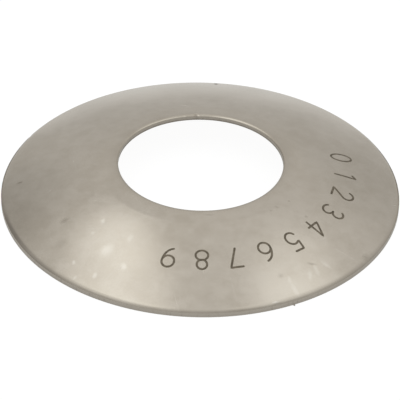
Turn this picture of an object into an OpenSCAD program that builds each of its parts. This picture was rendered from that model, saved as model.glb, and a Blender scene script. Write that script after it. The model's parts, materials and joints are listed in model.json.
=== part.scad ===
// Spherical washer: a thin ring of sheet steel, dished to a ball radius, with a plain round bore
// and a margin around the bore that stayed flatter than the ball.
// Millimetres. The washer lies dome up on its rim: Z = 0 is the surface under the rim,
// and the Z axis runs up through the middle of the bore.

/* [Ring] */
// Outside diameter
outside_d = 86; // [60:0.5:120]
// Bore diameter
bore_d = 35.5; // [12:0.5:60]
// Thickness of the sheet, square to its faces
sheet_t = 1.3; // [0.8:0.05:3]

/* [Dish] */
// Ball radius of the convex face; the concave face shares its centre
ball_r = 101; // [70:0.5:300]
// Width of the margin around the bore that is flatter than the ball
margin_w = 4.3; // [2:0.1:6]
// Angle by which the margin is flatter than the ball where the two meet, in degrees
margin_tilt = 3.5; // [2:0.25:5]

/* [Edges] */
// Width of the strip that punching rolled over on the convex side of the bore
bore_roll_w = 0.8; // [0.5:0.05:1.5]
// Depth of that roll at the bore's wall
bore_roll_d = 0.35; // [0.1:0.05:0.5]
// Width of the strip that punching rolled over on the convex side of the rim
rim_roll_w = 0.9; // [0.5:0.05:1.5]
// Depth of that roll at the rim's wall
rim_roll_d = 0.3; // [0.1:0.05:0.5]
// Radius of the broken edges where the walls of the bore and of the rim begin and end
edge_r = 0.15; // [0.05:0.05:0.2]

/* [Hidden] */
$fn = 240;

rim_r = outside_d / 2;
bore_r = bore_d / 2;
bend_r = bore_r + margin_w;
// Radius that lies clear outside the rim
past_rim = rim_r + sheet_t;
// Angle at which the margin falls outwards
margin_slope = asin(bend_r / ball_r) - margin_tilt;
// Length by which an arc of the section passes its neighbour, so that the two cross instead of touching
overlap = 0.0005;
// Height of the ball's centre that puts the broken edge under the rim on Z = 0
ball_z = edge_r + overlap - sqrt(pow(ball_r - sheet_t + edge_r, 2) - pow(rim_r - edge_r, 2));
// Reach of a corner's waste from the centre of its arc, in radii of that arc
waste_reach = 3;

// Height of a circle's upper half at distance x from the washer's axis.
// A circle is written as the x and z of its centre and its radius.
function top_z(c, x) = c[1] + sqrt(pow(c[2], 2) - pow(x - c[0], 2));

// The ball, and the straight run of the margin, at a depth under the convex face
function ball(depth) = [0, ball_z, ball_r - depth];
function margin_z(x, depth) =
    top_z(ball(0), bend_r) + (bend_r - x) * tan(margin_slope) - depth / cos(margin_slope);

// Height of the sheet's layer at a depth under the convex face
function layer_z(x, depth) = min(top_z(ball(depth), x), margin_z(x, depth));

// Angle at which that layer falls outwards, and the direction square to it and down
function layer_slope(x, depth) = x < bend_r ? margin_slope : asin(x / (ball_r - depth));
function layer_down(x, depth) = -[sin(layer_slope(x, depth)), cos(layer_slope(x, depth))];

// Circle of a roll: it leaves the convex face at width w from a wall and meets the wall at depth d.
// inward is +1 at the bore and -1 at the rim.
function roll_circle(wall, inward, w, d) =
    let (
        x = wall + inward * w,
        start = [x, layer_z(x, 0)],
        chord = [wall, layer_z(wall, 0) - d] - start,
        down = layer_down(x, 0),
        r = chord * chord / (2 * chord * down),
        c = start + r * down
    )
    [c[0], c[1], r + overlap];

// Circle of the broken edge that touches a wall, and its roll from inside
function upper_edge(wall, inward, roll) =
    let (x = wall + inward * edge_r)
    [x, top_z([roll[0], roll[1], roll[2] - edge_r], x), edge_r + overlap];

// Circle of the broken edge that touches a wall and the concave face
function lower_edge(wall, inward) =
    let (x = wall + inward * edge_r)
    [x, layer_z(x, sheet_t - edge_r), edge_r + overlap];

function centre(c) = [c[0], c[1]];

// Everything that lies under the sheet's layer at a depth, to just past the rim
module under_layer(depth) {
    intersection() {
        translate([0, ball_z]) circle(r = ball_r - depth);
        polygon([
            [0, margin_z(0, depth)],
            [past_rim, margin_z(past_rim, depth)],
            [past_rim, ball_z],
            [0, ball_z]
        ]);
    }
}

// Sheet between its two faces, cut along the axis at the bore and at the rim
module sheet_section() {
    intersection() {
        difference() {
            under_layer(0);
            under_layer(sheet_t);
        }
        translate([bore_r, -sheet_t]) square([rim_r - bore_r, ball_r]);
    }
}

// Corner that lies outside a circle, between two directions from its centre
module corner_waste(c, direction_a, direction_b) {
    reach = waste_reach * c[2];
    a = reach * direction_a / norm(direction_a);
    b = reach * direction_b / norm(direction_b);
    translate(centre(c)) difference() {
        polygon([[0, 0], a, a + b, b]);
        circle(r = c[2]);
    }
}

// What is taken off the sheet along one wall: the roll and a broken edge on the convex side,
// and a broken edge on the concave side
module wall_waste(wall, inward, roll_w, roll_d) {
    roll = roll_circle(wall, inward, roll_w, roll_d);
    upper = upper_edge(wall, inward, roll);
    lower = lower_edge(wall, inward);
    to_wall = [-inward, 0];
    corner_waste(roll, -layer_down(wall + inward * roll_w, 0), [wall, upper[1]] - centre(roll));
    corner_waste(upper, centre(upper) - centre(roll), to_wall);
    corner_waste(lower, layer_down(lower[0], sheet_t - edge_r), to_wall);
}

module washer_section() {
    difference() {
        sheet_section();
        wall_waste(bore_r, 1, bore_roll_w, bore_roll_d);
        wall_waste(rim_r, -1, rim_roll_w, rim_roll_d);
    }
}

module washer() {
    color("#a8a298") rotate_extrude() washer_section();
}

washer();
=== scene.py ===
"""Looks of the spherical washer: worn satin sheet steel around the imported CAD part. Metres throughout."""
import json
import math

import bpy
import numpy as np
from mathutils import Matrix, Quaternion, Vector, noise


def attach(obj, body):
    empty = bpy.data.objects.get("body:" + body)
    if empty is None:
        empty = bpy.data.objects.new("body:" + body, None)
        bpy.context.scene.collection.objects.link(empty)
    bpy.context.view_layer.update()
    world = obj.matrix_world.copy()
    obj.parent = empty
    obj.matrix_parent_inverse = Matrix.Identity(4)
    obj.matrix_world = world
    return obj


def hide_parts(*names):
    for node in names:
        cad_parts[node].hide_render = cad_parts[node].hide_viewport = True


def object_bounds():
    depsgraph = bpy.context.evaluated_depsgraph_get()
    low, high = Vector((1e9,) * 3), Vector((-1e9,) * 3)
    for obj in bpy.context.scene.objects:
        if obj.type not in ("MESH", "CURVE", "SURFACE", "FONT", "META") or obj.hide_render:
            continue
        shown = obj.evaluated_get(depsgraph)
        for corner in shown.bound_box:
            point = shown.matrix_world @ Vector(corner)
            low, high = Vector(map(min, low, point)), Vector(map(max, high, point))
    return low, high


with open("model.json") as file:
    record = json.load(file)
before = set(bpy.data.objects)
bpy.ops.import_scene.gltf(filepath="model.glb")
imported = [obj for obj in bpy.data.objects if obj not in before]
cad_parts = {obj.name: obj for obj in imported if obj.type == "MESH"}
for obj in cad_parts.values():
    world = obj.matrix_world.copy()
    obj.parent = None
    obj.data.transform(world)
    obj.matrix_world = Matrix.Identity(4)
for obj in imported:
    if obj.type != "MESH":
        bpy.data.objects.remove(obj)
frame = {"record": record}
cad_low, cad_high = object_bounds()

MM = 0.001
mounts = {m["name"]: m for m in frame["record"]["mounts"]}

# Form of the washer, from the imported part: each seat's point and normal give its ball's radius and centre
RIM_R = cad_high.x
BORE_R = mounts["bore"]["dims"]["r_mm"] * MM
BALL_R = mounts["convex_seat"]["pos_m"][0] / mounts["convex_seat"]["axis"][0]
SHEET_T = BALL_R + mounts["concave_seat"]["pos_m"][0] / mounts["concave_seat"]["axis"][0]
BALL_Z = mounts["convex_seat"]["pos_m"][2] - BALL_R * mounts["convex_seat"]["axis"][2]

# Margin around the bore that is flatter than the ball, and edge sizes, as in the part's source
MARGIN_W = 4.3 * MM
MARGIN_TILT = math.radians(3.5)
BEND_R = BORE_R + MARGIN_W
MARGIN_SLOPE = math.asin(BEND_R / BALL_R) - MARGIN_TILT
BORE_ROLL_W = 0.80 * MM
BORE_ROLL_D = 0.35 * MM
RIM_ROLL_W = 0.90 * MM
RIM_ROLL_D = 0.30 * MM
EDGE_R = 0.15 * MM

# Mesh density
STEPS_AROUND = 600
STEPS_BURR = 13
STEPS_FACE = 86
STEPS_SEAT = 26
STEPS_ROLL = 10
STEPS_EDGE = 4
STEPS_WALL = 6

# Camera of the photograph. Its distance is given in outside diameters, and its sensor is in mm
CAMERA_ELEVATION = math.radians(35.38)
CAMERA_ROLL = math.radians(1.04)
CAMERA_DISTANCE = 7.552 * 2 * RIM_R
IMAGE_SIDE = 400
FOCAL_PIXELS = 3000
ORIGIN_PIXEL = (200.11, 196.07)
SENSOR = 36
CLIP_END = 20

# Marks on the convex face: bearing of the middle in degrees, distance from the axis in mm,
# half length and half width in mm, turn of the long side in degrees, and strength.
# Smudges darken the steel. The last two, at the nicks in the rim's and the bore's upper edges, are painted
# shade of the notches. Rubs brighten it. The group from bearing -136 to -116 are painted highlights, glints
# of small dents. The one at -68 on the rim is a painted glint of its nick. The rest are light rubbed streaks
SMUDGES_AND_NICK_SHADE = (
    (-179, 39.0, 0.7, 0.35, 0, 0.58),
    (-149, 33.4, 1.2, 0.80, 20, 0.42),
    (-141, 37.2, 1.5, 1.3, 60, 0.22),
    (-154, 25.6, 0.8, 0.7, 20, 0.14),
    (-51, 37.3, 1.1, 0.35, 5, 0.35),
    (-63, 37.3, 0.8, 0.6, 30, 0.20),
    (-34, 42.0, 1.2, 0.7, 60, 0.32),
    (-34.6, 22.8, 0.35, 0.30, 0, 0.40),
    (-43.8, 22.3, 0.60, 0.25, 0, 0.35),
    (-48.1, 22.4, 0.40, 0.30, 20, 0.35),
    (-36.7, 27.9, 0.35, 0.30, 0, 0.35),
    (-84.4, 19.4, 1.20, 0.35, 5, 0.22),
    # Painted shade in the nicks of the rim's and the bore's upper edges, on this line and the next
    (85.6, 41.0, 0.50, 0.80, 0, 0.70),
    (94.4, 18.0, 0.55, 0.35, 0, 0.60),
)
RUBS_AND_GLINTS = (
    # Painted highlights, glints of small dents, on this line and the next seven
    (-136, 28.2, 0.85, 0.55, 80, 0.62),
    (-135, 31.6, 0.60, 0.50, 60, 0.35),
    (-125, 33.4, 1.8, 1.5, 50, 0.55),
    (-132, 39.0, 0.60, 0.45, 90, 0.72),
    (-116, 35.5, 0.95, 0.70, 110, 0.55),
    (-123, 39.5, 0.75, 0.55, 75, 0.58),
    (-128, 41.7, 0.6, 0.25, 35, 0.50),
    (-120, 28.9, 1.2, 0.7, 70, 0.30),
    (-47, 38.8, 1.5, 0.50, -31, 0.38),
    (-51, 38.8, 1.8, 0.50, -68, 0.36),
    (-54, 39.2, 1.4, 0.45, -88, 0.32),
    (-61, 41.1, 2.0, 0.60, -56, 0.36),
    (-61, 38.7, 1.0, 0.40, -80, 0.35),
    # Painted highlight: a glint of the nick at the front of the rim
    (-68, 42.5, 0.9, 0.30, 22, 0.95),
)

# Dents in the convex face: bearing in degrees, distance from the axis in mm, radius and depth in mm
DENTS = (
    (-125, 33.4, 1.1, 0.020),
    (-136, 28.2, 0.7, 0.014),
    (-116, 35.5, 0.8, 0.016),
    (-123, 39.5, 0.7, 0.014),
    (-149, 33.4, 0.9, 0.018),
    (-51, 38.0, 1.0, 0.018),
    (-61, 40.2, 0.9, 0.016),
    (28, 39.6, 0.8, 0.015),
    (141, 36.0, 0.9, 0.015),
)

# Nicks in an upper edge: wall radius, bearing in degrees, half width and depth in mm
NICKS = (
    (RIM_R, 85.6, 0.55, 0.14),
    (RIM_R, -67.6, 0.50, 0.10),
    (RIM_R, 152, 0.60, 0.06),
    (BORE_R, 93.6, 0.45, 0.10),
    (BORE_R, 101, 0.30, 0.06),
)
# Height over which a nick fades out above and below its edge
NICK_REACH = 0.35 * MM

# Thin burr that stands out from the lower edge of the rim
BURR_BEARING = math.radians(297.3)
BURR_HALF_WIDTH = 0.17 * MM
BURR_LENGTH = 0.55 * MM
# Height over which the burr fades out, half span of the close stations across it in half widths,
# and how far even stations stay away, in such half spans
BURR_REACH = 0.2 * MM
BURR_SPAN = 2.5
BURR_CLEAR = 1.2

# Waves that pressing left in the sheet, and streaks that shearing left in the walls
WAVE_DEPTH = 0.012 * MM
WAVE_LENGTH = 9.0 * MM
STREAK_DEPTH = 0.014 * MM
STREAK_LENGTH = 0.9 * MM
# Share of the height that goes into the streaks' noise, which draws them out up the wall
STREAK_RISE = 0.15

# Row of plain counting numbers etched into the convex face, tops outward
NUMBER_R = 31.2 * MM
NUMBER_FIRST = math.radians(12.7)
NUMBER_LAST = math.radians(-101.6)
NUMBER_HEIGHT = 4.5 * MM
NUMBER_STROKE = 0.47 * MM
NUMBER_LIFT = 0.008 * MM
NUMBER_SINK = 0.006 * MM
STATION_GAP = 0.25 * MM
# Degrees between the points of a digit's arcs, and bearings of the points on a stroke's round end
ARC_STEP = 10
CAP_ANGLES = (85, 60, 30)

# Tones of the steel
STEEL_DARK = (0.362, 0.325, 0.270)
STEEL_LIGHT = (0.414, 0.377, 0.321)
STEEL_WORN = (0.480, 0.450, 0.400)
STEEL_RUB_AND_GLINT = (0.640, 0.615, 0.565)
STEEL_SMUDGE_AND_SHADE = (0.185, 0.160, 0.128)
RIM_SMEARED = (0.330, 0.302, 0.260)
# Painted light: the rim's torn band, low on the wall, is lighter than its smeared band to offset the shade
# near the floor
RIM_TORN_WITH_PAINTED_LIGHT = (0.345, 0.317, 0.275)
BORE_SMEARED = (0.285, 0.260, 0.222)
BORE_TORN = (0.245, 0.222, 0.190)
SHEAR_GROOVE = (0.120, 0.106, 0.088)
OXIDE_DARK = (0.090, 0.073, 0.050)
OXIDE_LIGHT = (0.150, 0.124, 0.088)
# Share of a mirror's strength that each surface keeps at a glancing angle
FACE_GLANCE = (0.92, 0.92, 0.91)
# Painted shade: the weaker glancing reflection kept by the rim's edge and by the dark marks
SHADE_AND_SMUDGE_GLANCE = (0.15, 0.15, 0.15)
WALL_GLANCE = (0.80, 0.80, 0.79)


def sheet_height(r, depth=0.0):
    """Height of the sheet's layer at a depth under the convex face, at distance r from the axis."""
    ball = BALL_Z + np.sqrt((BALL_R - depth) ** 2 - r * r)
    bend = BALL_Z + math.sqrt(BALL_R**2 - BEND_R**2)
    margin = bend + (BEND_R - r) * math.tan(MARGIN_SLOPE) - depth / math.cos(MARGIN_SLOPE)
    return np.minimum(ball, margin)


def sheet_slope(r, depth=0.0):
    """Angle at which the layer at a depth falls outwards, at distance r from the axis."""
    return np.where(r < BEND_R, MARGIN_SLOPE, np.arcsin(r / (BALL_R - depth)))


def layer(depth, r_from, r_to, steps):
    """Points along a layer of the sheet and their upward normals."""
    r = np.linspace(r_from, r_to, steps + 1)
    slope = sheet_slope(r, depth)
    return np.stack([r, sheet_height(r, depth)], 1), np.stack([np.sin(slope), np.cos(slope)], 1)


def roll_circle(wall_r, inward, width, depth):
    """Centre and radius of a roll that leaves the face at a width from its wall and meets it at a depth."""
    r = wall_r + inward * width
    start = np.array([r, sheet_height(r)])
    end = np.array([wall_r, sheet_height(wall_r) - depth])
    chord = end - start
    into_sheet = -np.array([math.sin(sheet_slope(r)), math.cos(sheet_slope(r))])
    radius = chord @ chord / (2 * chord @ into_sheet)
    return start + radius * into_sheet, radius


def upper_edge(wall_r, inward, roll, roll_r):
    """Centre of the broken edge between a roll and its wall."""
    r = wall_r + inward * EDGE_R
    return r, roll[1] + math.sqrt((roll_r - EDGE_R) ** 2 - (r - roll[0]) ** 2)


def lower_edge(wall_r, inward):
    """Centre of the broken edge between a wall and the concave face."""
    r = wall_r + inward * EDGE_R
    return r, float(sheet_height(r, SHEET_T - EDGE_R))


def bearing(point, seen_from):
    return math.atan2(point[1] - seen_from[1], point[0] - seen_from[0])


def arc(centre, radius, start, end, steps):
    """Points and outward normals along an arc of the section, both ends included."""
    angles = np.linspace(start, end, steps + 1)
    normals = np.stack([np.cos(angles), np.sin(angles)], 1)
    return np.array(centre) + radius * normals, normals


def wall(r, z_from, z_to, side):
    z = np.linspace(z_from, z_to, STEPS_WALL + 1)
    return np.stack([np.full_like(z, r), z], 1), np.tile([side, 0.0], (len(z), 1))


def section():
    """The washer's closed section as points, normals and zone names, from the bore outwards over the top."""
    bore_roll, bore_roll_r = roll_circle(BORE_R, 1, BORE_ROLL_W, BORE_ROLL_D)
    rim_roll, rim_roll_r = roll_circle(RIM_R, -1, RIM_ROLL_W, RIM_ROLL_D)
    bore_top = upper_edge(BORE_R, 1, bore_roll, bore_roll_r)
    rim_top = upper_edge(RIM_R, -1, rim_roll, rim_roll_r)
    bore_low = lower_edge(BORE_R, 1)
    rim_low = lower_edge(RIM_R, -1)
    quarter = math.pi / 2
    bore_up = quarter - MARGIN_SLOPE
    rim_up = quarter - float(sheet_slope(RIM_R - RIM_ROLL_W))
    bore_down = bore_up - math.pi
    rim_down = -quarter - float(sheet_slope(rim_low[0], SHEET_T - EDGE_R))
    seat_from = rim_low[0] + EDGE_R * math.cos(rim_down)
    seat_to = bore_low[0] + EDGE_R * math.cos(bore_down)
    seat = layer(SHEET_T, seat_from, seat_to, STEPS_SEAT)
    bore_turn = bearing(bore_top, bore_roll)
    rim_turn = bearing(rim_top, rim_roll)
    runs = {
        "face": layer(0.0, BORE_R + BORE_ROLL_W, RIM_R - RIM_ROLL_W, STEPS_FACE),
        "rim_roll": arc(rim_roll, rim_roll_r, rim_up, rim_turn, STEPS_ROLL),
        "rim_top": arc(rim_top, EDGE_R, rim_turn, 0.0, STEPS_EDGE),
        "rim_wall": wall(RIM_R, rim_top[1], rim_low[1], 1.0),
        "rim_under": arc(rim_low, EDGE_R, 0.0, rim_down, STEPS_EDGE),
        "seat": (seat[0], -seat[1]),
        "bore_under": arc(bore_low, EDGE_R, bore_down, -math.pi, STEPS_EDGE),
        "bore_wall": wall(BORE_R, bore_low[1], bore_top[1], -1.0),
        "bore_top": arc(bore_top, EDGE_R, math.pi, bore_turn, STEPS_EDGE),
        "bore_roll": arc(bore_roll, bore_roll_r, bore_turn, bore_up, STEPS_ROLL),
    }
    points = np.concatenate([p[:-1] for p, _ in runs.values()])
    normals = np.concatenate([n[:-1] for _, n in runs.values()])
    zones = np.array([name for name, (p, _) in runs.items() for _ in range(len(p) - 1)])
    return points, normals, zones


def polar(degrees, r_mm):
    """Place in plan of a mark, in metres."""
    turn = math.radians(degrees)
    return r_mm * MM * math.cos(turn), r_mm * MM * math.sin(turn)


def waves(x, y, z, length):
    """Smooth noise from 0 to 1 at places given as arrays."""
    places = np.stack([x, y, z], -1).reshape(-1, 3) / length
    return 0.5 + 0.5 * np.array([noise.noise(Vector(p)) for p in places]).reshape(x.shape)


def face_sink(x, y):
    """How far wear has sunk the convex face, at places in plan given as arrays."""
    sink = WAVE_DEPTH * waves(x, y, np.zeros_like(x), WAVE_LENGTH)
    for degrees, r_mm, radius, depth in DENTS:
        at_x, at_y = polar(degrees, r_mm)
        away = ((x - at_x) ** 2 + (y - at_y) ** 2) / (radius * MM) ** 2
        sink = sink + depth * MM * np.exp(-away)
    return sink


def nick_sink(turn, wall_r):
    """How far nicks have sunk the upper edge of a wall, at bearings given as an array."""
    sink = np.zeros_like(turn)
    for nick_r, degrees, half_width, depth in NICKS:
        if nick_r == wall_r:
            along = wall_r * np.angle(np.exp(1j * (turn - math.radians(degrees))))
            sink += depth * MM * np.exp(-((along / (half_width * MM)) ** 2))
    return sink


def bearings_around():
    """Bearings of the mesh's stations: even all round, but close together across the burr."""
    even = np.linspace(0.0, 2 * math.pi, STEPS_AROUND, endpoint=False)
    reach = BURR_SPAN * BURR_HALF_WIDTH / RIM_R
    close = np.linspace(BURR_BEARING - reach, BURR_BEARING + reach, STEPS_BURR)
    clear = np.abs(even - BURR_BEARING) > BURR_CLEAR * reach
    return np.sort(np.concatenate([even[clear], close]))


def washer_sheet(materials):
    """Closed mesh of the whole sheet with its wear, revolved from the section."""
    points, normals, zones = section()
    turn = bearings_around()[:, None]
    r = points[:, 0][None, :]
    z = np.broadcast_to(points[:, 1][None, :], (len(turn), len(points)))
    x, y = r * np.cos(turn), r * np.sin(turn)

    topside = np.isin(zones, ("face", "rim_roll", "bore_roll"))
    cut = np.isin(zones, ("rim_wall", "bore_wall"))
    sink = np.zeros_like(x)
    sink[:, topside] = face_sink(x[:, topside], y[:, topside])
    sink[:, cut] = STREAK_DEPTH * waves(x[:, cut], y[:, cut], STREAK_RISE * z[:, cut], STREAK_LENGTH)
    for side, wall_r in (("rim", RIM_R), ("bore", BORE_R)):
        upper = np.isin(zones, (side + "_roll", side + "_top", side + "_wall"))
        edge_height = points[zones == side + "_top", 1].mean()
        reach = np.exp(-(((points[:, 1] - edge_height) / NICK_REACH) ** 2)) * upper
        sink += nick_sink(turn, wall_r) * reach[None, :]
    burr = np.exp(-((RIM_R * (turn - BURR_BEARING) / BURR_HALF_WIDTH) ** 2))
    lower_rim = np.isin(zones, ("rim_wall", "rim_under"))
    burr_reach = np.exp(-(((points[:, 1] - EDGE_R) / BURR_REACH) ** 2)) * lower_rim
    push = BURR_LENGTH * burr * burr_reach[None, :] - sink * normals[:, 0][None, :]

    x = x + push * np.cos(turn)
    y = y + push * np.sin(turn)
    z = z - sink * normals[:, 1][None, :]
    sheet = revolved("washer_sheet", np.stack([x, y, z], 2))

    # Slots in the order of the materials: convex face and edges, rim's wall, bore's wall, concave face
    slots = np.zeros(len(zones), np.int32)
    slots[np.isin(zones, ("rim_wall", "rim_under"))] = 1
    slots[np.isin(zones, ("bore_wall", "bore_under"))] = 2
    slots[zones == "seat"] = 3
    sheet.data.polygons.foreach_set("material_index", np.tile(slots, len(turn)))
    for material in materials:
        sheet.data.materials.append(material)
    bore_edge = edge_nearness(points, zones, "bore", BORE_R, BORE_SHADE_REACH)
    rim_edge = edge_nearness(points, zones, "rim", RIM_R, RIM_SHADE_REACH)
    share = wall_share(points, zones)
    for name, values in (("bore_edge", bore_edge), ("rim_edge", rim_edge), ("wall_share", share)):
        attribute = sheet.data.attributes.new(name, "FLOAT", "POINT")
        attribute.data.foreach_set("value", np.tile(values, len(turn)).astype(np.float32))
    return sheet


def edge_nearness(points, zones, side, wall_r, reach):
    """1 at a wall, falling off across its upper edge, its roll and the face."""
    upper = np.isin(zones, ("face", side + "_roll", side + "_top", side + "_wall"))
    return upper * np.exp(-np.abs(points[:, 0] - wall_r) / reach)


def wall_share(points, zones):
    """Height on a wall as a share of it: 0 at the lower edge, 1 at the upper edge."""
    share = np.zeros(len(points))
    for side in ("rim", "bore"):
        own = zones == side + "_wall"
        low, high = points[own, 1].min(), points[own, 1].max()
        around = np.char.startswith(zones, side)
        share[around] = np.clip((points[around, 1] - low) / (high - low), 0, 1)
    return share


def revolved(name, rings):
    """Closed mesh object from rings of points: first index around the axis, second along the section."""
    around, along = rings.shape[:2]
    index = np.arange(around * along).reshape(around, along)
    ahead = np.roll(index, -1, 0)
    quads = np.stack([index, np.roll(index, -1, 1), np.roll(ahead, -1, 1), ahead], 2).reshape(-1, 4)
    mesh = bpy.data.meshes.new(name)
    mesh.from_pydata(rings.reshape(-1, 3).tolist(), [], quads.tolist())
    mesh.shade_smooth()
    mesh.update()
    piece = bpy.data.objects.new(name, mesh)
    bpy.context.scene.collection.objects.link(piece)
    return piece


def ellipse(x, y, half_x, half_y, start=0, end=360):
    """Points along an elliptical arc, between bearings in degrees."""
    angles = np.radians(np.linspace(start, end, 1 + round(abs(end - start) / ARC_STEP)))
    return np.stack([x + half_x * np.cos(angles), y + half_y * np.sin(angles)], 1)


def line(*points):
    return np.array(points, float)


def digits():
    """Single-stroke shapes of the numbers 0 to 9, one unit high about their middle."""
    six = [
        ellipse(0, -0.20, 0.29, 0.30),
        ellipse(0.22, -0.20, 0.51, 0.70, 100, 180),
    ]
    return [
        [ellipse(0, 0, 0.29, 0.50)],
        [line((-0.14, 0.34), (0.05, 0.50), (0.05, -0.50))],
        [np.concatenate([ellipse(0, 0.22, 0.28, 0.28, 165, -35), line((-0.29, -0.50), (0.29, -0.50))])],
        [ellipse(-0.02, 0.25, 0.25, 0.25, 150, -90), ellipse(-0.02, -0.25, 0.29, 0.25, 90, -150)],
        [line((0.12, -0.50), (0.12, 0.50), (-0.30, -0.22), (0.31, -0.22))],
        [np.concatenate([line((0.24, 0.50), (-0.20, 0.50), (-0.25, 0.06)),
                         ellipse(0, -0.18, 0.29, 0.32, 125, -150)])],
        six,
        [line((-0.29, 0.50), (0.29, 0.50), (-0.10, -0.50))],
        [ellipse(0, 0.25, 0.24, 0.25), ellipse(0, -0.24, 0.29, 0.26)],
        [-stroke for stroke in six],
    ]


def stations(path):
    """The path with points added, so that no two neighbours lie further apart than the station gap."""
    fine = [path[:1]]
    for start, end in zip(path[:-1], path[1:]):
        steps = max(1, math.ceil(np.linalg.norm(end - start) / STATION_GAP))
        fine.append(start + (end - start) * np.linspace(0, 1, steps + 1)[1:, None])
    return np.concatenate(fine)


def stroke_edges(path):
    """Left and right edge of an even stroke along a path, and whether the stroke is a ring."""
    ring = np.allclose(path[0], path[-1])
    path = stations(path)
    half = NUMBER_STROKE / 2
    if ring:
        path = path[:-1]
        before = np.roll(path, 1, 0)
        after = np.roll(path, -1, 0)
    else:
        before = np.concatenate([path[:1], path[:-1]])
        after = np.concatenate([path[1:], path[-1:]])
    along = after - before
    along /= np.linalg.norm(along, axis=1)[:, None]
    width = np.full(len(path), half)
    if not ring:
        cap = np.radians(CAP_ANGLES)
        head = path[0] - half * np.sin(cap)[:, None] * along[0]
        tail = path[-1] + half * np.sin(cap[::-1])[:, None] * along[-1]
        path = np.concatenate([head, path, tail])
        first_way = np.tile(along[0], (len(cap), 1))
        last_way = np.tile(along[-1], (len(cap), 1))
        along = np.concatenate([first_way, along, last_way])
        width = np.concatenate([half * np.cos(cap), width, half * np.cos(cap[::-1])])
    across = np.stack([-along[:, 1], along[:, 0]], 1) * width[:, None]
    return path + across, path - across, ring


def on_face(flat, turn, lift):
    """Points of a digit's plane laid on the worn convex face, at a bearing around the washer."""
    outward = np.array([math.cos(turn), math.sin(turn)])
    reading = np.array([math.sin(turn), -math.cos(turn)])
    plan = (NUMBER_R + flat[:, 1:2]) * outward + flat[:, 0:1] * reading
    x, y = plan[:, 0], plan[:, 1]
    z = sheet_height(np.hypot(x, y)) - face_sink(x, y) + lift
    return np.stack([x, y, z], 1)


def etched_numbers(material):
    """Thin closed ribbons that make the row of numbers."""
    vertices, faces = [], []
    shapes = digits()
    for shape, turn in zip(shapes, np.linspace(NUMBER_FIRST, NUMBER_LAST, len(shapes))):
        for path in shape:
            left, right, ring = stroke_edges(path * NUMBER_HEIGHT)
            sides = [on_face(left, turn, NUMBER_LIFT), on_face(right, turn, NUMBER_LIFT),
                     on_face(right, turn, -NUMBER_SINK), on_face(left, turn, -NUMBER_SINK)]
            first = len(vertices)
            vertices.extend(np.stack(sides, 1).reshape(-1, 3).tolist())
            count = len(left)
            for step in range(count if ring else count - 1):
                here = first + 4 * step
                there = first + 4 * ((step + 1) % count)
                for side in range(4):
                    after = (side + 1) % 4
                    faces.append((here + side, here + after, there + after, there + side))
            if not ring:
                last = first + 4 * (count - 1)
                faces.append((first + 3, first + 2, first + 1, first))
                faces.append((last, last + 1, last + 2, last + 3))
    mesh = bpy.data.meshes.new("etched_numbers")
    mesh.from_pydata(vertices, [], faces)
    mesh.materials.append(material)
    mesh.update()
    numbers = bpy.data.objects.new("etched_numbers", mesh)
    bpy.context.scene.collection.objects.link(numbers)
    return numbers


# Marks, with the painted shade and painted highlights among them: size in mm of the noise that makes their
# outlines ragged, how far it pushes them in mm, where a mark begins and is full in half sizes of the mark,
# and how far a rub or a painted highlight brightens the steel
MARK_RAG_SIZE = 0.7
SMUDGE_AND_SHADE_RAG = 0.5
RUB_AND_GLINT_RAG = 0.55
MARK_FADE = (1.3, 0.1)
RUB_AND_GLINT_SHINE = 0.42

# Fine scratches: directions in degrees with seeds, squeeze of the noise along and across them, levels
# where a line begins and is full, size in mm and levels of the patches that break them, and brightness
SCRATCH_WAYS = ((20, 3.0), (75, 11.0), (140, 23.0))
SCRATCH_SQUEEZE = (0.045, 3.4, 0.0)
SCRATCH_FADE = (0.66, 0.76)
SCRATCH_PATCH_SIZE = 6.0
SCRATCH_PATCH_FADE = (0.50, 0.62)
SCRATCH_SHINE = 0.25

# Painted shade along the edges, darker bands that stand in for the dim reflections at the bore's and the
# rim's edges: how far it reaches, how uneven it is, where it begins and is full, and its strength
BORE_SHADE_REACH = 1.5 * MM
RIM_SHADE_REACH = 0.5 * MM
EDGE_MOTTLE = 0.4
EDGE_FADE = (0.15, 0.9)
BORE_SHADE_STRENGTH = 0.16
RIM_SHADE_STRENGTH = 0.12

# Finish of the faces: sizes in mm of its clouds, mottle and grain, their shares in the tone,
# and the sums at which the steel is darkest and lightest
CLOUD_SIZE = 14.0
MOTTLE_SIZE = 2.8
GRAIN_SIZE = 0.32
CLOUD_SHARE = 0.45
MOTTLE_SHARE = 0.35
GRAIN_SHARE = 0.15
TONE_RANGE = (0.335, 0.615)

# Roughness of the faces, what mottle, scratches and the dark marks (smudges and painted shade) add to it, and
# relief in mm
FACE_ROUGHNESS = 0.15
MOTTLE_ROUGHNESS = 0.12
SCRATCH_ROUGHNESS = 0.06
SMUDGE_AND_SHADE_ROUGHNESS = 0.20
GRAIN_RELIEF = 0.0016
MOTTLE_RELIEF = 0.005
SCRATCH_DEPTH = 0.0012

# Finish of the walls: streaks drawn out up the wall, torn grain, how far the border between the two bands
# wanders and fades, dark grooves, roughness and relief. Sizes and relief are in mm
STREAK_SQUEEZE = (1.0, 1.0, 0.12)
STREAK_SIZE = 0.45
TORN_GRAIN_SIZE = 0.16
BAND_WANDER_SIZE = 2.0
BAND_WANDER = 0.7
BAND_FADE = (0.30, 0.55)
GROOVE_FADE = (0.56, 0.78)
GROOVE_STRENGTH = 0.5
TORN_ROUGHNESS = 0.50
SMEARED_ROUGHNESS = 0.30
STREAK_ROUGHNESS = 0.10
STREAK_RELIEF = 0.010
TORN_RELIEF = 0.016

# Oxide of the numbers: sizes in mm of thin patches and grain, levels of a patch, roughness and relief in mm
OXIDE_METALLIC = 0.6
OXIDE_PATCH_SIZE = 0.9
OXIDE_GRAIN_SIZE = 0.12
OXIDE_FADE = (0.35, 0.7)
OXIDE_ROUGHNESS = 0.40
OXIDE_GRAIN_ROUGHNESS = 0.25
OXIDE_RELIEF = 0.004


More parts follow.
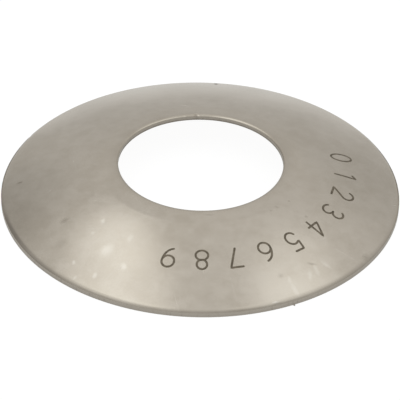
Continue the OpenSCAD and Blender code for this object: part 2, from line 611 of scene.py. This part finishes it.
class Graph:
    """A metal's node tree, with short names for the nodes that are used here. Lengths are in mm."""

    def __init__(self, name, metallic, glance):
        self.material = bpy.data.materials.new(name)
        self.material.use_nodes = True
        self.tree = self.material.node_tree
        self.shader = self.tree.nodes["Principled BSDF"]
        self.shader.inputs["Metallic"].default_value = metallic
        self.shader.inputs["Specular Tint"].default_value = (*glance, 1)
        self.place = self.vector("SCALE", self.node("ShaderNodeTexCoord").outputs["Object"], scale=1 / MM)

    def node(self, kind, **settings):
        node = self.tree.nodes.new(kind)
        for key, value in settings.items():
            setattr(node, key, value)
        return node

    def feed(self, socket, value):
        if isinstance(value, bpy.types.NodeSocket):
            self.tree.links.new(value, socket)
        else:
            socket.default_value = value

    def vector(self, operation, a, b=None, scale=None):
        node = self.node("ShaderNodeVectorMath", operation=operation)
        self.feed(node.inputs[0], a)
        if b is not None:
            self.feed(node.inputs[1], b)
        if scale is not None:
            self.feed(node.inputs["Scale"], scale)
        return node.outputs["Value" if operation == "LENGTH" else "Vector"]

    def math(self, operation, a, b):
        node = self.node("ShaderNodeMath", operation=operation)
        self.feed(node.inputs[0], a)
        self.feed(node.inputs[1], b)
        return node.outputs[0]

    def scaled(self, value, factor, offset=0.0):
        node = self.node("ShaderNodeMath", operation="MULTIPLY_ADD")
        self.feed(node.inputs[0], value)
        self.feed(node.inputs[1], factor)
        self.feed(node.inputs[2], offset)
        return node.outputs[0]

    def turned(self, place, degrees):
        node = self.node("ShaderNodeVectorRotate", rotation_type="Z_AXIS")
        self.feed(node.inputs["Vector"], place)
        self.feed(node.inputs["Angle"], math.radians(degrees))
        return node.outputs["Vector"]

    def noise(self, place, size, detail=3.0, roughness=0.5, output="Fac"):
        """Noise whose features are about a size across."""
        node = self.node("ShaderNodeTexNoise")
        self.feed(node.inputs["Vector"], place)
        self.feed(node.inputs["Scale"], 1 / size)
        self.feed(node.inputs["Detail"], detail)
        self.feed(node.inputs["Roughness"], roughness)
        return node.outputs[output]

    def ramp(self, value, start, end):
        """0 at start, 1 at end, and a smooth step between them; either may be the larger."""
        node = self.node("ShaderNodeMapRange", interpolation_type="SMOOTHSTEP")
        self.feed(node.inputs["Value"], value)
        self.feed(node.inputs["From Min"], start)
        self.feed(node.inputs["From Max"], end)
        return node.outputs["Result"]

    def mix(self, share, a, b):
        """Colour a where the share is 0, b where it is 1."""
        node = self.node("ShaderNodeMix", data_type="RGBA")
        self.feed(node.inputs[0], share)
        self.feed(node.inputs[6], a if isinstance(a, bpy.types.NodeSocket) else (*a, 1))
        self.feed(node.inputs[7], (*b, 1))
        return node.outputs[2]

    def attribute(self, name):
        return self.node("ShaderNodeAttribute", attribute_name=name).outputs["Fac"]

    def bump(self, height):
        """Relief from a height in mm."""
        node = self.node("ShaderNodeBump")
        node.inputs["Distance"].default_value = MM
        self.feed(node.inputs["Height"], height)
        self.feed(self.shader.inputs["Normal"], node.outputs["Normal"])

    def marks(self, marks, ragged):
        """Mask of a list of oval marks with ragged outlines, each as strong as it says."""
        rag = self.noise(self.place, MARK_RAG_SIZE, output="Color")
        shift = self.vector("SUBTRACT", rag, (0.5, 0.5, 0.5))
        warped = self.vector("ADD", self.place, self.vector("SCALE", shift, scale=ragged))
        total = 0.0
        for degrees, r_mm, half_length, half_width, turn, strength in marks:
            x, y = polar(degrees, r_mm)
            offset = self.vector("SUBTRACT", warped, (x / MM, y / MM, 0.0))
            oval = self.vector("MULTIPLY", self.turned(offset, -turn), (1 / half_length, 1 / half_width, 0.0))
            mask = self.ramp(self.vector("LENGTH", oval), *MARK_FADE)
            total = self.math("MAXIMUM", self.scaled(mask, strength), total)
        return total

    def scratches(self, degrees, seed):
        """Mask of fine broken lines that run one way across the face."""
        squeezed = self.vector("MULTIPLY", self.turned(self.place, degrees), SCRATCH_SQUEEZE)
        moved = self.vector("ADD", squeezed, (seed, seed, 0.0))
        lines = self.ramp(self.noise(moved, 1.0, detail=1.0), *SCRATCH_FADE)
        patches = self.noise(self.vector("ADD", self.place, (seed, 0.0, 0.0)), SCRATCH_PATCH_SIZE)
        return self.math("MULTIPLY", lines, self.ramp(patches, *SCRATCH_PATCH_FADE))

    def edge(self, name, mottle):
        """Mask along an edge, uneven where the steel is mottled."""
        uneven = self.scaled(mottle, EDGE_MOTTLE, -EDGE_MOTTLE / 2)
        return self.ramp(self.math("ADD", self.attribute(name), uneven), *EDGE_FADE)


def satin_steel(name, smudges_and_nick_shade, rubs_and_glints):
    """Faces of the sheet: mottled satin steel with grain, fine scratches and marks, with painted shade along
    the edges and among the marks, and painted highlights among the marks.
    """
    g = Graph(name, 1.0, FACE_GLANCE)
    cloud = g.noise(g.place, CLOUD_SIZE, detail=2.0)
    mottle = g.noise(g.place, MOTTLE_SIZE, detail=4.0, roughness=0.6)
    grain = g.noise(g.place, GRAIN_SIZE, detail=3.0, roughness=0.65)
    fine_tone = g.math("ADD", g.scaled(mottle, MOTTLE_SHARE), g.scaled(grain, GRAIN_SHARE))
    tone = g.math("ADD", g.scaled(cloud, CLOUD_SHARE), fine_tone)
    colour = g.mix(g.ramp(tone, *TONE_RANGE), STEEL_DARK, STEEL_LIGHT)
    scratch = 0.0
    for degrees, seed in SCRATCH_WAYS:
        scratch = g.math("MAXIMUM", g.scratches(degrees, seed), scratch)
    # Painted shade along the bore's and the rim's edges
    bore_shade = g.edge("bore_edge", mottle)
    rim_shade_and_smudges = g.edge("rim_edge", mottle)
    colour = g.mix(g.scaled(bore_shade, BORE_SHADE_STRENGTH), colour, STEEL_SMUDGE_AND_SHADE)
    colour = g.mix(g.scaled(rim_shade_and_smudges, RIM_SHADE_STRENGTH), colour, STEEL_SMUDGE_AND_SHADE)
    colour = g.mix(g.scaled(scratch, SCRATCH_SHINE), colour, STEEL_WORN)
    roughness = g.scaled(mottle, MOTTLE_ROUGHNESS, FACE_ROUGHNESS)
    roughness = g.math("ADD", roughness, g.scaled(scratch, SCRATCH_ROUGHNESS))
    if smudges_and_nick_shade:
        dark = g.marks(smudges_and_nick_shade, SMUDGE_AND_SHADE_RAG)
        bright = g.marks(rubs_and_glints, RUB_AND_GLINT_RAG)
        # Dark marks are smudges plus painted shade in two nicks. Bright marks are mostly painted highlights,
        # glints of dents and of a nick, and a few rubbed streaks
        colour = g.mix(dark, colour, STEEL_SMUDGE_AND_SHADE)
        colour = g.mix(g.scaled(bright, RUB_AND_GLINT_SHINE), colour, STEEL_RUB_AND_GLINT)
        roughness = g.math("ADD", roughness, g.scaled(dark, SMUDGE_AND_SHADE_ROUGHNESS))
        rim_shade_and_smudges = g.math("MAXIMUM", rim_shade_and_smudges, dark)
    g.feed(g.shader.inputs["Base Color"], colour)
    # Painted reflection: the rim's edge and the dark marks keep less of the glancing reflection
    g.feed(g.shader.inputs["Specular Tint"], g.mix(rim_shade_and_smudges, FACE_GLANCE, SHADE_AND_SMUDGE_GLANCE))
    g.feed(g.shader.inputs["Roughness"], roughness)
    relief = g.math("ADD", g.scaled(grain, GRAIN_RELIEF), g.scaled(mottle, MOTTLE_RELIEF))
    g.bump(g.math("SUBTRACT", relief, g.scaled(scratch, SCRATCH_DEPTH)))
    return g.material


def sheared_steel(name, smeared_tone, torn_tone):
    """A wall: a smeared band above, a rough torn band below, and streaks along the cut."""
    g = Graph(name, 1.0, WALL_GLANCE)
    stretched = g.vector("MULTIPLY", g.place, STREAK_SQUEEZE)
    streaks = g.noise(stretched, STREAK_SIZE, detail=3.0, roughness=0.6)
    torn_grain = g.noise(g.place, TORN_GRAIN_SIZE, detail=2.0)
    wander = g.scaled(g.noise(g.place, BAND_WANDER_SIZE), BAND_WANDER, -BAND_WANDER / 2)
    smeared = g.ramp(g.math("ADD", g.attribute("wall_share"), wander), *BAND_FADE)
    colour = g.mix(smeared, torn_tone, smeared_tone)
    colour = g.mix(g.scaled(g.ramp(streaks, *GROOVE_FADE), GROOVE_STRENGTH), colour, SHEAR_GROOVE)
    g.feed(g.shader.inputs["Base Color"], colour)
    roughness = g.scaled(smeared, SMEARED_ROUGHNESS - TORN_ROUGHNESS, TORN_ROUGHNESS)
    g.feed(g.shader.inputs["Roughness"], g.math("ADD", roughness, g.scaled(streaks, STREAK_ROUGHNESS)))
    torn = g.math("SUBTRACT", 1.0, smeared)
    torn_relief = g.math("MULTIPLY", torn, g.scaled(torn_grain, TORN_RELIEF))
    g.bump(g.math("ADD", g.scaled(streaks, STREAK_RELIEF), torn_relief))
    return g.material


def etched_oxide():
    """Numbers: a dull brown-black oxide, thinner in places."""
    g = Graph("etched_oxide", OXIDE_METALLIC, FACE_GLANCE)
    thin = g.noise(g.place, OXIDE_PATCH_SIZE, detail=3.0, roughness=0.6)
    grain = g.noise(g.place, OXIDE_GRAIN_SIZE, detail=2.0)
    g.feed(g.shader.inputs["Base Color"], g.mix(g.ramp(thin, *OXIDE_FADE), OXIDE_DARK, OXIDE_LIGHT))
    g.feed(g.shader.inputs["Roughness"], g.scaled(grain, OXIDE_GRAIN_ROUGHNESS, OXIDE_ROUGHNESS))
    g.bump(g.scaled(grain, OXIDE_RELIEF))
    return g.material


# Pale floor that glows evenly, so that it stays white under the washer too
FLOOR_HALF = 4.0
FLOOR_GLOW = 0.94
FLOOR_TONE = 0.08
FLOOR_ROUGHNESS = 0.9
FLOOR_SPECULAR = 0.1


def build_floor():
    mesh = bpy.data.meshes.new("floor")
    corners = [(-FLOOR_HALF, -FLOOR_HALF, 0), (FLOOR_HALF, -FLOOR_HALF, 0),
               (FLOOR_HALF, FLOOR_HALF, 0), (-FLOOR_HALF, FLOOR_HALF, 0)]
    mesh.from_pydata(corners, [], [(0, 1, 2, 3)])
    floor = bpy.data.objects.new("floor", mesh)
    bpy.context.scene.collection.objects.link(floor)
    material = bpy.data.materials.new("pale_floor")
    material.use_nodes = True
    shader = material.node_tree.nodes["Principled BSDF"]
    shader.inputs["Base Color"].default_value = (FLOOR_TONE, FLOOR_TONE, FLOOR_TONE, 1)
    shader.inputs["Roughness"].default_value = FLOOR_ROUGHNESS
    shader.inputs["Specular IOR Level"].default_value = FLOOR_SPECULAR
    shader.inputs["Emission Color"].default_value = (1, 1, 1, 1)
    shader.inputs["Emission Strength"].default_value = FLOOR_GLOW
    mesh.materials.append(material)


# Studio: oval soft boxes hang level over the washer, each a little higher than the one before, so that
# where they overlap all of them light it. Places and sizes are shares of their height, x to the right,
# y to the back; glow is what each adds to the room's own light
BOX_HEIGHT = 1.0
BOX_GAP = 0.005
BOX_COLOUR = (0.955, 1.0, 1.03)
SOFT_BOXES = {
    "left_box": {"at": (-0.29, 0.18), "size": (0.22, 0.60), "turn": 8, "glow": 0.20},
    "left_back": {"at": (-0.33, 0.46), "size": (0.30, 0.50), "turn": 15, "glow": 0.26},
    "left_fill": {"at": (-0.36, 0.20), "size": (0.46, 1.20), "turn": 10, "glow": 0.51},
    "left_side": {"at": (-0.60, -0.15), "size": (0.80, 1.00), "turn": 20, "glow": 0.19},
    "left_front": {"at": (-0.55, -0.45), "size": (0.75, 1.30), "turn": 10, "glow": 0.21},
    "right_box": {"at": (0.42, 0.34), "size": (0.30, 0.60), "turn": -28, "glow": 0.34},
    "right_fill": {"at": (0.48, 0.34), "size": (0.50, 1.10), "turn": -15, "glow": 0.10},
    "right_side": {"at": (0.60, -0.12), "size": (0.80, 1.00), "turn": -20, "glow": 0.29},
    "overhead": {"at": (0.0, 0.05), "size": (1.40, 1.40), "turn": 0, "glow": 0.11},
}
ROOM_LEVEL = 1.01
# Parts of the room that are darker: direction, cosines where the dark begins and is full, and its depth
ROOM_SHADES = (
    ((-0.65, 0.65, 0.35), 0.90, 0.99, 0.33),
    ((0.52, 0.78, 0.36), 0.94, 0.998, 0.17),
    ((0.0, 1.0, 0.05), 0.80, 0.99, 0.14),
    ((0.0, -0.6, -0.8), -0.60, -0.20, 0.22),
    ((-0.9, 0.25, 0.3), 0.86, 0.97, 0.29),
    ((0.9, 0.25, 0.3), 0.86, 0.97, 0.12),
)


def build_lights():
    for index, (name, box) in enumerate(SOFT_BOXES.items()):
        height = BOX_HEIGHT + index * BOX_GAP
        wide = box["size"][0] * height
        deep = box["size"][1] * height
        area = math.pi / 4 * wide * deep
        data = bpy.data.lights.new(name, "AREA")
        data.shape = "ELLIPSE"
        data.size = wide
        data.size_y = deep
        data.color = BOX_COLOUR
        data.energy = box["glow"] * math.pi * area
        lamp = bpy.data.objects.new(name, data)
        lamp.location = (box["at"][0] * height, box["at"][1] * height, height)
        lamp.rotation_euler.z = math.radians(box["turn"])
        bpy.context.scene.collection.objects.link(lamp)


def build_world():
    world = bpy.data.worlds.new("studio")
    bpy.context.scene.world = world
    world.use_nodes = True
    tree = world.node_tree
    background = tree.nodes["Background"]
    background.inputs["Color"].default_value = (1, 1, 1, 1)
    direction = tree.nodes.new("ShaderNodeTexCoord").outputs["Generated"]
    level = None
    for towards, begins, full, depth in ROOM_SHADES:
        facing = tree.nodes.new("ShaderNodeVectorMath")
        facing.operation = "DOT_PRODUCT"
        facing.inputs[1].default_value = Vector(towards).normalized()
        tree.links.new(direction, facing.inputs[0])
        shade = tree.nodes.new("ShaderNodeMapRange")
        shade.interpolation_type = "SMOOTHSTEP"
        shade.inputs["From Min"].default_value = begins
        shade.inputs["From Max"].default_value = full
        shade.inputs["To Max"].default_value = depth
        tree.links.new(facing.outputs["Value"], shade.inputs["Value"])
        dimmed = tree.nodes.new("ShaderNodeMath")
        dimmed.operation = "SUBTRACT"
        dimmed.inputs[0].default_value = ROOM_LEVEL
        if level:
            tree.links.new(level, dimmed.inputs[0])
        tree.links.new(shade.outputs["Result"], dimmed.inputs[1])
        level = dimmed.outputs[0]
    tree.links.new(level, background.inputs["Strength"])


def build_camera():
    data = bpy.data.cameras.new("camera")
    data.sensor_width = SENSOR
    data.lens = FOCAL_PIXELS / IMAGE_SIDE * SENSOR
    camera = bpy.data.objects.new("camera", data)
    bpy.context.scene.collection.objects.link(camera)
    forward = Vector((0, math.cos(CAMERA_ELEVATION), -math.sin(CAMERA_ELEVATION)))
    up = Vector((0, math.sin(CAMERA_ELEVATION), math.cos(CAMERA_ELEVATION)))
    per_pixel = CAMERA_DISTANCE / FOCAL_PIXELS
    off_x = (IMAGE_SIDE / 2 - ORIGIN_PIXEL[0]) * per_pixel
    off_y = (IMAGE_SIDE / 2 - ORIGIN_PIXEL[1]) * per_pixel
    target = Vector((1, 0, 0)) * off_x - up * off_y
    camera.location = -forward * CAMERA_DISTANCE
    aim = (target - camera.location).to_track_quat("-Z", "Y")
    camera.rotation_mode = "QUATERNION"
    camera.rotation_quaternion = aim @ Quaternion((0, 0, 1), CAMERA_ROLL)
    data.clip_end = CLIP_END
    bpy.context.scene.camera = camera


sheet = washer_sheet([
    satin_steel("satin_steel", SMUDGES_AND_NICK_SHADE, RUBS_AND_GLINTS),
    sheared_steel("sheared_rim", RIM_SMEARED, RIM_TORN_WITH_PAINTED_LIGHT),
    sheared_steel("sheared_bore", BORE_SMEARED, BORE_TORN),
    satin_steel("satin_steel_concave", (), ()),
])
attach(sheet, "root")
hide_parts("washer")

numbers = etched_numbers(etched_oxide())
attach(numbers, "root")

build_floor()
build_lights()
build_world()
build_camera()
bpy.context.scene.view_settings.view_transform = "Standard"
